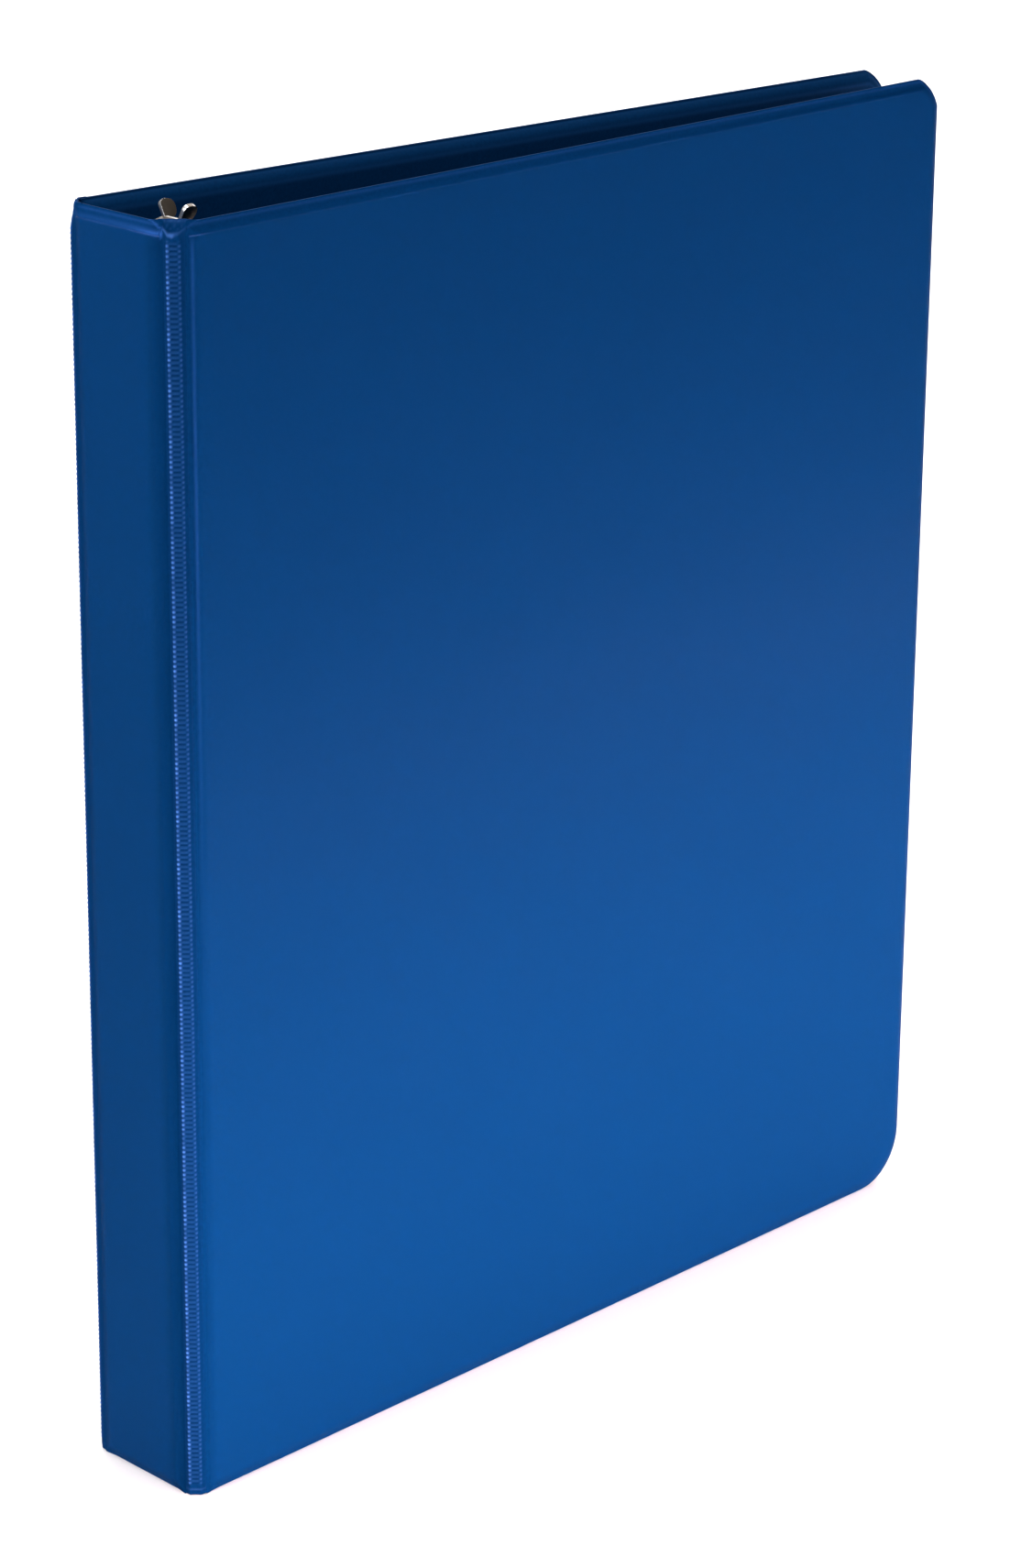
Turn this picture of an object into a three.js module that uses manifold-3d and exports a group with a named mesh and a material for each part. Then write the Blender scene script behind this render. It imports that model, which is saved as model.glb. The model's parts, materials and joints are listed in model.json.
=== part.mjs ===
// A slim clear-view ring binder, standing on its lower edges with both covers closed.
// Millimetres, +Z up. The spine faces -X, the front cover faces -Y, the rear cover faces +Y.
// The covers turn on welded vinyl hinges. Inside the spine a three-ring mechanism opens when
// the trigger at either end is pressed outwards.

import * as THREE from 'three';
import { mergeVertices } from 'three/addons/utils/BufferGeometryUtils.js';
import Module from 'manifold-3d';

const wasm = await Module();
wasm.setup();

// ---- overall size ----
const HEIGHT = 295;
const COVER_LENGTH = 254.7;        // spine face to free edge, measured along the cover
const SPINE_THICKNESS = 37.6;      // outside to outside of the covers at the spine
const TOE_IN = THREE.MathUtils.degToRad(1.95);

// ---- layers of every panel, as depths from its outer face ----
const GAP = 0.2;
const OVERLAY_DEPTH = 0.3;
const SKIN_FROM = OVERLAY_DEPTH + GAP;
const SKIN_DEPTH = 0.45;
const BOARD_FROM = SKIN_FROM + SKIN_DEPTH + GAP;
const BOARD_DEPTH = 1.6;
const LINER_FROM = BOARD_FROM + BOARD_DEPTH + GAP;
const LINER_DEPTH = 0.35;
const PANEL_DEPTH = LINER_FROM + LINER_DEPTH;
const POCKET_FROM = PANEL_DEPTH + GAP;
const POCKET_DEPTH = 0.3;
const BOARD_INSET = 2.6;           // panel's edge to the board's edge, taken up by the weld
const LINER_INSET = SKIN_DEPTH + GAP;

// ---- outlines of the panels ----
const HINGE_X = 1.9;               // hinge axis, inwards of the spine's face
const HINGE_TO_FACE = 1.95;        // hinge axis to the cover's outer face
const HINGE_Y = SPINE_THICKNESS / 2 - HINGE_TO_FACE;
const HINGE_CLEARANCE = 2.6;       // hinge axis to the cover's near edge
const SPINE_HALF_WIDTH = HINGE_Y - 2.3;
const TOP_CORNER = 9;
const BOTTOM_CORNER = 14;
const NEAR_CORNER = 1.2;
const OVERLAY_INSET = 2.5;
const OVERLAY_TOP_INSET = 3;
const STRIP_WIDTH = 3.4;
const STRIP_DEPTH = 1.0;
const STRIP_CORNER = 0.4;
const ARC_STEPS = 3;

// ---- pockets inside the covers ----
const POCKET_LENGTH = 196;
const POCKET_HEIGHT = 128;
const POCKET_EDGE = 12;
const POCKET_THUMB_RADIUS = 14;

// ---- ring mechanism ----
const MECHANISM_X = PANEL_DEPTH + 0.3;
const MECHANISM_Z = 147.8;
const SHEET = 0.8;
const HOUSING_HALF_LENGTH = 138.2;
const HOUSING_HALF_WIDTH = 8.5;
const HOUSING_WALL = 3.1;
const HOUSING_CROWN = 6.5;
const HOUSING_LIP = 1.6;
const PLATE_HALF_LENGTH = 122;
const PLATE_DEPTH = 0.9;
const PLATE_X = MECHANISM_X + 1.1;
const PLATE_OUTER = 7.3;
const PLATE_INNER = 0.2;
const RING_PITCH = 108;
const RING_COUNT = 3;
const RING_X = 16.8;
const RING_RADIUS = 9.0;
const RING_WIRE = 1.2;
const RING_TIP_GAP = 0.3;
const RING_FOOT_Y = 3.2;
const RING_FOOT_ANGLE = THREE.MathUtils.degToRad(148);
const RING_STEPS = 20;
const RING_SLOT_HALF = 1.9;
const RING_SLOT_INNER = 1.6;
const RIVET_OFFSET = 118;
const RIVET_SHANK = 2.0;
const RIVET_HOLE = 2.4;
const RIVET_HEAD = 3.8;
const RIVET_DOME = 1.2;
const RIVET_FLANGE = 3.6;
const RIVET_FLANGE_HOLE = 4.0;
const RIVET_NOTCH = 2.9;

// ---- triggers ----
const PIN_X = 5.6;
const PIN_OFFSET = 131;
const PIN_RADIUS = 0.9;
const PIN_HALF_LENGTH = 8.4;
const PIN_HOLE = 1.2;
const KNUCKLE_RADIUS = 1.85;
const TAB_HALF_WIDTH = 2.85;
const TAB_SHEET = 0.9;
const BEND_X = 7.15;
const BEND_Z = 138.7;
const CURVE_X = 8.6;
const CURVE_Z = 142.4;
const PAD_NEAR = 15.7;
const PAD_LIP = 1.2;
const PAD_FAR = 19.5;
const PAD_BASE = 143.6;
const EAR_ROOT = 0.5;
const EAR_HEIGHT = 4.1;
const EAR_ROUND = 1.0;
const EAR_CROWN = 1.7;
const EAR_TIP = 2.2;
const EAR_LEAN = THREE.MathUtils.degToRad(28);

// ---- colours ----
const BLUE_VINYL = { color: 0x0b3f7a, roughness: 0.45, metalness: 0 };
const DARK_LINER = { color: 0x072a5c, roughness: 0.55, metalness: 0 };
const CLEAR_FILM = {
  color: 0x3a6ea8, roughness: 0.15, metalness: 0, transparent: true, opacity: 0.25,
};
const GREY_BOARD = { color: 0x8d8577, roughness: 0.9, metalness: 0 };
const NICKEL = { color: 0xb9b6ae, roughness: 0.25, metalness: 1 };

const binder = new THREE.Group();

// ---- helpers: solids ----

function toSolid(geometry) {
  const bare = geometry.clone();
  bare.deleteAttribute('normal');
  bare.deleteAttribute('uv');
  const merged = mergeVertices(bare, 1e-4);
  return new wasm.Manifold(new wasm.Mesh({
    numProp: 3,
    vertProperties: new Float32Array(merged.attributes.position.array),
    triVerts: new Uint32Array(merged.index.array),
  }));
}

function fromSolid(solid) {
  const mesh = solid.getMesh();
  const geometry = new THREE.BufferGeometry();
  geometry.setAttribute('position', new THREE.BufferAttribute(mesh.vertProperties, 3));
  geometry.setIndex(new THREE.BufferAttribute(mesh.triVerts, 1));
  geometry.computeVertexNormals();
  return geometry;
}

function cut(body, tools) {
  let solid = toSolid(body);
  for (const tool of tools) {
    solid = solid.subtract(toSolid(tool));
  }
  return fromSolid(solid);
}

function join(parts) {
  let solid = toSolid(parts[0]);
  for (const part of parts.slice(1)) {
    solid = solid.add(toSolid(part));
  }
  return fromSolid(solid);
}

// Turns an outline drawn in (first, second) and pushed along third into object space.
function orient(geometry, first, second, third) {
  return geometry.applyMatrix4(new THREE.Matrix4().makeBasis(first, second, third));
}

const X = new THREE.Vector3(1, 0, 0);
const Y = new THREE.Vector3(0, 1, 0);
const Z = new THREE.Vector3(0, 0, 1);
const MINUS_Y = new THREE.Vector3(0, -1, 0);

// A mirror image in the XZ plane, with its triangles turned so that they still face out.
function mirrored(geometry) {
  const copy = geometry.index ? geometry.toNonIndexed() : geometry.clone();
  copy.scale(1, -1, 1);
  const position = copy.attributes.position;
  const swap = new THREE.Vector3();
  const other = new THREE.Vector3();
  for (let i = 0; i < position.count; i += 3) {
    swap.fromBufferAttribute(position, i + 1);
    other.fromBufferAttribute(position, i + 2);
    position.setXYZ(i + 1, other.x, other.y, other.z);
    position.setXYZ(i + 2, swap.x, swap.y, swap.z);
  }
  copy.computeVertexNormals();
  return copy;
}

function box(x0, x1, y0, y1, z0, z1) {
  const geometry = new THREE.BoxGeometry(x1 - x0, y1 - y0, z1 - z0);
  return geometry.translate((x0 + x1) / 2, (y0 + y1) / 2, (z0 + z1) / 2);
}

function rodAlongX(radius, x0, x1, y, z, sides = 14) {
  const rod = new THREE.CylinderGeometry(radius, radius, x1 - x0, sides).rotateZ(Math.PI / 2);
  return rod.translate((x0 + x1) / 2, y, z);
}

function rodAlongY(radius, halfLength, x, z, sides = 14) {
  return new THREE.CylinderGeometry(radius, radius, 2 * halfLength, sides).translate(x, 0, z);
}

function addMesh(parent, name, geometry, finish) {
  const mesh = new THREE.Mesh(geometry, new THREE.MeshStandardMaterial(finish));
  mesh.name = name;
  parent.add(mesh);
  return mesh;
}

// ---- panels: outlines and layers ----

// A rectangle with its own radius at each corner: near bottom, far bottom, far top, near top.
function roundedRectangle(a0, a1, b0, b1, radii) {
  const [nearBottom, farBottom, farTop, nearTop] = radii;
  const outline = new THREE.Shape();
  outline.moveTo(a0 + nearBottom, b0);
  outline.lineTo(a1 - farBottom, b0);
  outline.absarc(a1 - farBottom, b0 + farBottom, farBottom, -Math.PI / 2, 0);
  outline.lineTo(a1, b1 - farTop);
  outline.absarc(a1 - farTop, b1 - farTop, farTop, 0, Math.PI / 2);
  outline.lineTo(a0 + nearTop, b1);
  outline.absarc(a0 + nearTop, b1 - nearTop, nearTop, Math.PI / 2, Math.PI);
  outline.lineTo(a0, b0 + nearBottom);
  outline.absarc(a0 + nearBottom, b0 + nearBottom, nearBottom, Math.PI, 1.5 * Math.PI);
  return outline;
}

function insetRadius(radius, inset) {
  return Math.max(radius - inset, 0.4);
}

function coverOutline(inset, topInset = inset) {
  const near = insetRadius(NEAR_CORNER, inset);
  const bottom = insetRadius(BOTTOM_CORNER, inset);
  const top = insetRadius(TOP_CORNER, inset);
  return roundedRectangle(
    HINGE_CLEARANCE + inset, COVER_LENGTH - HINGE_X - inset, inset, HEIGHT - topInset,
    [near, bottom, top, near],
  );
}

function spineOutline(inset, topInset = inset) {
  const corner = insetRadius(NEAR_CORNER, inset);
  const half = SPINE_HALF_WIDTH - inset;
  return roundedRectangle(-half, half, inset, HEIGHT - topInset, [corner, corner, corner, corner]);
}

function extrude(outline, depth) {
  return new THREE.ExtrudeGeometry(outline, { depth, bevelEnabled: false, curveSegments: ARC_STEPS });
}

// A layer of the front cover, in the cover's own frame with the hinge axis at its origin.
function coverLayer(outline, from, depth) {
  const layer = orient(extrude(outline, depth), X, Z, MINUS_Y);
  return layer.translate(0, from + depth - HINGE_TO_FACE, 0);
}

// A layer of the spine, whose outer face lies in the plane x = 0.
function spineLayer(outline, from, depth) {
  return orient(extrude(outline, depth), Y, Z, X).translate(from, 0, 0);
}

// The skin is a tray: a sheet with a rim that wraps the edges of the board and the liner.
function tray(layer, outline) {
  const whole = layer(outline(0), SKIN_FROM, PANEL_DEPTH - SKIN_FROM);
  const hollow = layer(outline(SKIN_DEPTH), SKIN_FROM + SKIN_DEPTH, PANEL_DEPTH);
  return cut(whole, [hollow]);
}

// A round cutter on the axis of each rivet.
function rivetHoles(radius, x0, x1) {
  return [1, -1].map((side) => rodAlongX(radius, x0, x1, 0, MECHANISM_Z + side * RIVET_OFFSET));
}

function buildSpine() {
  const board = cut(
    spineLayer(spineOutline(BOARD_INSET), BOARD_FROM, BOARD_DEPTH),
    [
      ...rivetHoles(RIVET_HOLE, 0, PANEL_DEPTH),
      ...rivetHoles(RIVET_FLANGE_HOLE, 0, BOARD_FROM + BOARD_DEPTH / 2),
    ],
  );
  const liner = cut(
    spineLayer(spineOutline(LINER_INSET), LINER_FROM, LINER_DEPTH),
    rivetHoles(RIVET_HOLE, 0, PANEL_DEPTH + 1),
  );
  const overlay = spineLayer(spineOutline(OVERLAY_INSET / 2, OVERLAY_TOP_INSET), 0, OVERLAY_DEPTH);
  addMesh(binder, 'spine_board', board, GREY_BOARD);
  addMesh(binder, 'spine_outer_vinyl', tray(spineLayer, spineOutline), BLUE_VINYL);
  addMesh(binder, 'spine_inner_liner', liner, DARK_LINER);
  addMesh(binder, 'spine_clear_overlay', overlay, CLEAR_FILM);
}

// A pocket sheet on the lower half of the cover's inner face, with a half-round thumb notch.
function pocketOutline() {
  const far = COVER_LENGTH - HINGE_X - POCKET_EDGE;
  const near = far - POCKET_LENGTH;
  const outline = new THREE.Shape();
  const middle = (near + far) / 2;
  outline.moveTo(near, POCKET_EDGE / 2);
  outline.lineTo(far - BOTTOM_CORNER, POCKET_EDGE / 2);
  outline.lineTo(far, POCKET_EDGE / 2 + BOTTOM_CORNER);
  outline.lineTo(far, POCKET_HEIGHT);
  outline.lineTo(middle + POCKET_THUMB_RADIUS, POCKET_HEIGHT);
  outline.absarc(middle, POCKET_HEIGHT, POCKET_THUMB_RADIUS, 0, Math.PI, true);
  outline.lineTo(near, POCKET_HEIGHT);
  return outline;
}

// side is -1 for the front cover and +1 for the rear cover.
function buildCover(name, side) {
  const hinge = new THREE.Group();
  hinge.position.set(HINGE_X, side * HINGE_Y, 0);
  hinge.rotation.z = -side * TOE_IN;
  binder.add(hinge);
  const overlayOutline = coverOutline(OVERLAY_INSET, OVERLAY_TOP_INSET);
  const layers = [
    ['board', coverLayer(coverOutline(BOARD_INSET), BOARD_FROM, BOARD_DEPTH), GREY_BOARD],
    ['outer_vinyl', tray(coverLayer, coverOutline), BLUE_VINYL],
    ['inner_liner', coverLayer(coverOutline(LINER_INSET), LINER_FROM, LINER_DEPTH), DARK_LINER],
    ['clear_overlay', coverLayer(overlayOutline, 0, OVERLAY_DEPTH), CLEAR_FILM],
    ['inner_pocket', coverLayer(pocketOutline(), POCKET_FROM, POCKET_DEPTH), BLUE_VINYL],
  ];
  for (const [layer, geometry, finish] of layers) {
    addMesh(hinge, `${name}_${layer}`, side < 0 ? geometry : mirrored(geometry), finish);
  }
}

// The welded vinyl between spine and cover, a strip that faces outwards at 45 degrees. The hinge
// axis lies in its outer face.
function buildHingeStrip(name, side) {
  const strip = roundedRectangle(
    -STRIP_WIDTH / 2, STRIP_WIDTH / 2, -STRIP_DEPTH / 2, STRIP_DEPTH / 2,
    [STRIP_CORNER, STRIP_CORNER, STRIP_CORNER, STRIP_CORNER],
  );
  const geometry = new THREE.ExtrudeGeometry(strip, {
    depth: HEIGHT, bevelEnabled: false, curveSegments: 1,
  });
  geometry.translate(0, -side * STRIP_DEPTH / 2, 0);
  const mesh = addMesh(binder, name, geometry, BLUE_VINYL);
  mesh.position.set(HINGE_X, side * HINGE_Y, 0);
  mesh.rotation.z = side * Math.PI / 4;
}

// ---- ring mechanism ----

// Section of the housing: an arched sheet with upright walls and lips turned in below.
function housingSection() {
  const wallTop = MECHANISM_X + HOUSING_WALL;
  const crown = MECHANISM_X + HOUSING_CROWN;
  const rise = crown - wallTop;
  const outerRadius = (HOUSING_HALF_WIDTH ** 2 + rise ** 2) / (2 * rise);
  const centreX = crown - outerRadius;
  const innerWidth = HOUSING_HALF_WIDTH - SHEET;
  const innerRadius = outerRadius - SHEET;
  const outerAngle = Math.asin(HOUSING_HALF_WIDTH / outerRadius);
  const innerAngle = Math.asin(innerWidth / innerRadius);
  const lipInner = HOUSING_HALF_WIDTH - HOUSING_LIP;
  const outline = new THREE.Shape();
  outline.moveTo(MECHANISM_X, -HOUSING_HALF_WIDTH);
  outline.lineTo(wallTop, -HOUSING_HALF_WIDTH);
  outline.absarc(centreX, 0, outerRadius, -outerAngle, outerAngle);
  outline.lineTo(MECHANISM_X, HOUSING_HALF_WIDTH);
  outline.lineTo(MECHANISM_X, lipInner);
  outline.lineTo(MECHANISM_X + SHEET, lipInner);
  outline.lineTo(MECHANISM_X + SHEET, innerWidth);
  outline.absarc(centreX, 0, innerRadius, innerAngle, -innerAngle, true);
  outline.lineTo(MECHANISM_X + SHEET, -innerWidth);
  outline.lineTo(MECHANISM_X + SHEET, -lipInner);
  outline.lineTo(MECHANISM_X, -lipInner);
  return outline;
}

function ringHeights() {
  const middle = (RING_COUNT - 1) / 2;
  return Array.from({ length: RING_COUNT }, (_, i) => MECHANISM_Z + (i - middle) * RING_PITCH);
}

function buildHousing() {
  const section = housingSection();
  const body = new THREE.ExtrudeGeometry(section, {
    depth: 2 * HOUSING_HALF_LENGTH, bevelEnabled: false, curveSegments: 5,
  });
  body.translate(0, 0, MECHANISM_Z - HOUSING_HALF_LENGTH);
  const tools = rivetHoles(RIVET_HOLE, MECHANISM_X + SHEET, MECHANISM_X + HOUSING_CROWN + 1);
  for (const z of ringHeights()) {
    for (const side of [-1, 1]) {
      const inner = side * RING_SLOT_INNER;
      const outer = side * (HOUSING_HALF_WIDTH + 1);
      tools.push(box(
        PLATE_X + PLATE_DEPTH + 0.2, RING_X, Math.min(inner, outer), Math.max(inner, outer),
        z - RING_SLOT_HALF, z + RING_SLOT_HALF,
      ));
    }
  }
  for (const end of [-1, 1]) {
    tools.push(rodAlongY(PIN_HOLE, HOUSING_HALF_WIDTH + 1, PIN_X, MECHANISM_Z + end * PIN_OFFSET));
  }
  addMesh(binder, 'ring_housing', cut(body, tools), NICKEL);
}

// Half of one ring: an arc of wire from the tip down to a foot that stands on its plate.
function ringHalfGeometry() {
  const onRing = (angle) => new THREE.Vector3(
    RING_X + RING_RADIUS * Math.cos(angle), -RING_RADIUS * Math.sin(angle), 0,
  );
  const tipAngle = Math.asin(RING_TIP_GAP / 2 / RING_RADIUS);
  const points = [];
  for (let i = 0; i < RING_STEPS; i += 1) {
    points.push(onRing(tipAngle + (RING_FOOT_ANGLE - tipAngle) * (i / RING_STEPS)));
  }
  const arcEnd = onRing(RING_FOOT_ANGLE);
  const toFoot = (-RING_FOOT_Y - arcEnd.y) / -Math.cos(RING_FOOT_ANGLE);
  const bend = new THREE.Vector3(arcEnd.x - toFoot * Math.sin(RING_FOOT_ANGLE), -RING_FOOT_Y, 0);
  const foot = new THREE.Vector3(PLATE_X + PLATE_DEPTH + GAP, -RING_FOOT_Y, 0);
  points.push(...new THREE.QuadraticBezierCurve3(arcEnd, bend, foot).getPoints(ARC_STEPS));
  const section = new THREE.Shape().absarc(0, 0, RING_WIRE, 0, 2 * Math.PI);
  return new THREE.ExtrudeGeometry(section, {
    steps: RING_STEPS, curveSegments: 5, bevelEnabled: false,
    extrudePath: new THREE.CatmullRomCurve3(points),
  });
}

function buildRingSide(name, side) {
  const facing = (geometry) => (side < 0 ? geometry : mirrored(geometry));
  const blank = box(
    PLATE_X, PLATE_X + PLATE_DEPTH, -PLATE_OUTER, -PLATE_INNER,
    MECHANISM_Z - PLATE_HALF_LENGTH, MECHANISM_Z + PLATE_HALF_LENGTH,
  );
  const notches = rivetHoles(RIVET_NOTCH, PLATE_X - 1, PLATE_X + PLATE_DEPTH + 1);
  addMesh(binder, `${name}_ring_plate`, facing(cut(blank, notches)), NICKEL);
  ringHeights().forEach((z, i) => {
    const half = facing(ringHalfGeometry());
    addMesh(binder, `${name}_ring_half_${i + 1}`, half, NICKEL).position.z = z;
  });
}

// A rivet with a domed head on the housing and a flange sunk in the spine board.
function buildRivet(name, z) {
  const crown = MECHANISM_X + HOUSING_CROWN + GAP;
  const flangeTo = BOARD_FROM + BOARD_DEPTH / 2 - GAP;
  const profile = [
    [0, BOARD_FROM], [RIVET_FLANGE, BOARD_FROM], [RIVET_FLANGE, flangeTo],
    [RIVET_SHANK, flangeTo], [RIVET_SHANK, crown],
  ];
  for (let i = 0; i < ARC_STEPS; i += 1) {
    const angle = (i / ARC_STEPS) * (Math.PI / 2);
    profile.push([RIVET_HEAD * Math.cos(angle), crown + RIVET_DOME * Math.sin(angle)]);
  }
  profile.push([0, crown + RIVET_DOME]);
  const points = profile.map(([radius, along]) => new THREE.Vector2(radius, along));
  const rivet = new THREE.LatheGeometry(points, 14).rotateZ(-Math.PI / 2);
  addMesh(binder, name, rivet, NICKEL).position.z = z;
}

// The trigger in a frame centred on the mechanism: a knuckle on the pin, a web that leaves the
// housing, bends away from the spine and ends in a finger pad, and an ear on each edge of the
// pad that leans outwards.
function triggerGeometry() {
  const half = TAB_SHEET / 2;
  const web = new THREE.Shape();
  web.moveTo(PIN_X, PIN_OFFSET - KNUCKLE_RADIUS + half);
  web.lineTo(PIN_X + KNUCKLE_RADIUS - half, PIN_OFFSET);
  web.lineTo(BEND_X + half, BEND_Z);
  web.quadraticCurveTo(CURVE_X + half, CURVE_Z - half, PAD_NEAR, PAD_BASE - half);
  web.lineTo(PAD_NEAR + PAD_LIP, PAD_BASE - half);
  web.lineTo(PAD_NEAR + PAD_LIP, PAD_BASE + half);
  web.lineTo(PAD_NEAR, PAD_BASE + half);
  web.quadraticCurveTo(CURVE_X - half, CURVE_Z + half, BEND_X - half, BEND_Z);
  web.lineTo(PIN_X - half, PIN_OFFSET + half);
  const webBlank = orient(extrude(web, 2 * TAB_HALF_WIDTH), X, Z, MINUS_Y);
  const webBody = webBlank.translate(0, TAB_HALF_WIDTH, 0);

  const ear = new THREE.Shape();
  ear.moveTo(PAD_NEAR, -EAR_ROOT);
  ear.lineTo(PAD_NEAR, EAR_HEIGHT - EAR_ROUND);
  ear.quadraticCurveTo(PAD_NEAR, EAR_HEIGHT, PAD_NEAR + EAR_CROWN, EAR_HEIGHT);
  ear.quadraticCurveTo(PAD_FAR, EAR_HEIGHT, PAD_FAR, EAR_TIP);
  ear.quadraticCurveTo(PAD_FAR, EAR_TIP - EAR_ROUND, PAD_FAR - EAR_ROUND, 0);
  const earBlank = orient(extrude(ear, TAB_SHEET), X, Z, MINUS_Y).translate(0, half, 0);
  const ears = [-1, 1].map((side) => (
    earBlank.clone().rotateX(-side * EAR_LEAN).translate(0, side * (TAB_HALF_WIDTH - half), PAD_BASE)
  ));

  const knuckle = rodAlongY(KNUCKLE_RADIUS, TAB_HALF_WIDTH, PIN_X, PIN_OFFSET);
  const bore = rodAlongY(PIN_HOLE, TAB_HALF_WIDTH + 1, PIN_X, PIN_OFFSET);
  return cut(join([webBody, ...ears, knuckle]), [bore]);
}

function buildTriggers() {
  const trigger = triggerGeometry();
  const pin = rodAlongY(PIN_RADIUS, PIN_HALF_LENGTH, PIN_X, PIN_OFFSET);
  const ends = [['top', 0], ['bottom', Math.PI]];
  for (const [name, turn] of ends) {
    const end = new THREE.Group();
    end.position.z = MECHANISM_Z;
    end.rotation.x = turn;
    binder.add(end);
    addMesh(end, `${name}_trigger`, trigger.clone(), NICKEL);
    addMesh(end, `${name}_trigger_pin`, pin.clone(), NICKEL);
  }
}

buildSpine();
buildCover('front', -1);
buildCover('rear', 1);
buildHingeStrip('front_hinge_strip', -1);
buildHingeStrip('rear_hinge_strip', 1);
buildHousing();
buildRingSide('front', -1);
buildRingSide('rear', 1);
buildTriggers();
buildRivet('upper_rivet', MECHANISM_Z + RIVET_OFFSET);
buildRivet('lower_rivet', MECHANISM_Z - RIVET_OFFSET);

// The origin is at the middle of the footprint, on the surface that the binder stands on.
const extent = new THREE.Box3().setFromObject(binder, true);
binder.position.x = -(extent.min.x + extent.max.x) / 2;

export default binder;
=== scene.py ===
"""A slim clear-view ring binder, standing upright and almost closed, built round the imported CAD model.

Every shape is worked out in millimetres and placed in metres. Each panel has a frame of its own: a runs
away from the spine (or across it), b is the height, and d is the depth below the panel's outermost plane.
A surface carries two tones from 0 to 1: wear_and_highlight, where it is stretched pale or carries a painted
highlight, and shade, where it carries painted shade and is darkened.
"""

import json
import math

import bmesh
import bpy
import numpy as np
from mathutils import Matrix, Vector


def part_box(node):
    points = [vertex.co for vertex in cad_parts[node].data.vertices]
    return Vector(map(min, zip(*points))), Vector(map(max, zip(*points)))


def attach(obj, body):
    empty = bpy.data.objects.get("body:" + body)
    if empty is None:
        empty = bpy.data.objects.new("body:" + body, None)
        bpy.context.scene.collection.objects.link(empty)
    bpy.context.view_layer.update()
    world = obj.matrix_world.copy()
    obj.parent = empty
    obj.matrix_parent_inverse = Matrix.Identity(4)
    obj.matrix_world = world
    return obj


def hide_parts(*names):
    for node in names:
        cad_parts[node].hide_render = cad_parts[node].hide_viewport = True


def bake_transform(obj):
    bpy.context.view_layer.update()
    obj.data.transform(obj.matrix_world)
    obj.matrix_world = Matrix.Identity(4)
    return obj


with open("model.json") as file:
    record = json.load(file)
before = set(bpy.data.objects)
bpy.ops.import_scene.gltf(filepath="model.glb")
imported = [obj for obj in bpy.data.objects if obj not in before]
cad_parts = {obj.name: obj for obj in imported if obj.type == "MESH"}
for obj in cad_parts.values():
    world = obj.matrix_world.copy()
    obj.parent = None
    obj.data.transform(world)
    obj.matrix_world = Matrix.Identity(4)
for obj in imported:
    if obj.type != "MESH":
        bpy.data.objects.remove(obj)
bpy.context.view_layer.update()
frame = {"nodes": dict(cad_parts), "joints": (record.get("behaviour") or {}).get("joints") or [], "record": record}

MM = 0.001

# ---- sheets and edges, in millimetres ----
FACE_DEPTH = 0.34          # the vinyl's face lies this far below the panel's outermost plane
VINYL = 0.42               # thickness of the outer vinyl
LINER = 0.32               # thickness of the inner vinyl
INNER_FACE = 3.30          # depth of the inner vinyl's visible face
WELD_DEPTH = 1.72          # depth at which outer and inner vinyl meet round a free edge
HINGE_OUTER_DEPTH = 1.02   # depth of the outer vinyl at a hinge side
HINGE_INNER_DEPTH = 2.35   # depth of the inner vinyl's face at a hinge side
FLANGE = 0.55              # width of the flat weld round a free edge
ROLL = 2.7                 # width over which the vinyl falls from the board to the weld
EDGE_ZONE = 4.2            # width round a panel's outline that is meshed in finer rings
EDGE_RINGS = 20
NEAR_CORNER = 0.45         # corner radius at a hinge side
TOP_CORNER = 7.4           # corner radii at a cover's free side
BOTTOM_CORNER = 14.0
CORNER_CUT = 0.5           # 0 leaves a cover's top corner round, 1 makes it a straight cut
CORNER_STEPS = 9           # points round one corner
SHEET_ROWS = 64            # rows of points over a panel's height
FILM = 0.1                 # thickness of the clear film
FILM_LIFT = 0.03           # gap between the film and the vinyl under it
FILM_TOP = 2.7             # top of the panel to the open edge of the clear film
CREASE_DEPTH = 0.16        # depth of the crease along the film's open edge
UNEVEN_OUTER = 0.035       # slow unevenness of the outer and inner vinyl
UNEVEN_INNER = 0.03

# ---- hinge ----
KNURL_PITCH = 1.1          # distance from one dot of the weld's pattern to the next
BEAD_S = 1.25              # distance of each row of dots from the hinge axis
RUNG_REACH = 0.95          # half the length of the rungs between the rows
WEB = 0.72                 # thickness of the welded web
FOLD_START = 0.35          # distance outside the hinge axis from which the tuck at the top presses in
WELD_BELOW, WELD_ABOVE = 2.6, 3.2   # plain vinyl below and above the welded pattern
WEB_POINTS = 36            # points across the web
WEB_ROWS_PER_DOT = 5.5
BLEND_HALF = 1.2           # half the width across the hinge axis at which two end points of the web are worked out

# ---- inner pockets ----
POCKET_SHEET = 0.31        # thickness of the pocket's vinyl
POCKET_GAP = 0.03          # gap between the pocket and the liner under it
POCKET_BULGE = 0.55        # how far the pocket's middle stands off the liner
POCKET_NOTCH = 14.0        # radius of the thumb notch
POCKET_CORNER = 14.0       # slanting corner at the bottom of the free side

# ---- ring mechanism ----
SHEET = 0.8                # thickness of the housing's sheet
RIB_DEPTH = 0.45           # depth of the ribs pressed into the housing
RIB_CLEAR = 16.0           # distance of each rib's ends from the rings
WIRE_RADIUS = 1.2
RIM_TURN = 0.8             # an ear's faces turned further than this cosine from its flats are its rim
RIVET_OFFSET = 118.0       # height of each rivet's hole from the housing's middle

SHEEN_TINT = (0.25, 0.45, 1.0, 1)   # colour of the vinyl's dull shine
PRESSED_SHADE = 0.42       # painted shade of the vinyl pressed in behind a fold, which also loses its shine


# ---------------- mesh helpers ----------------

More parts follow.
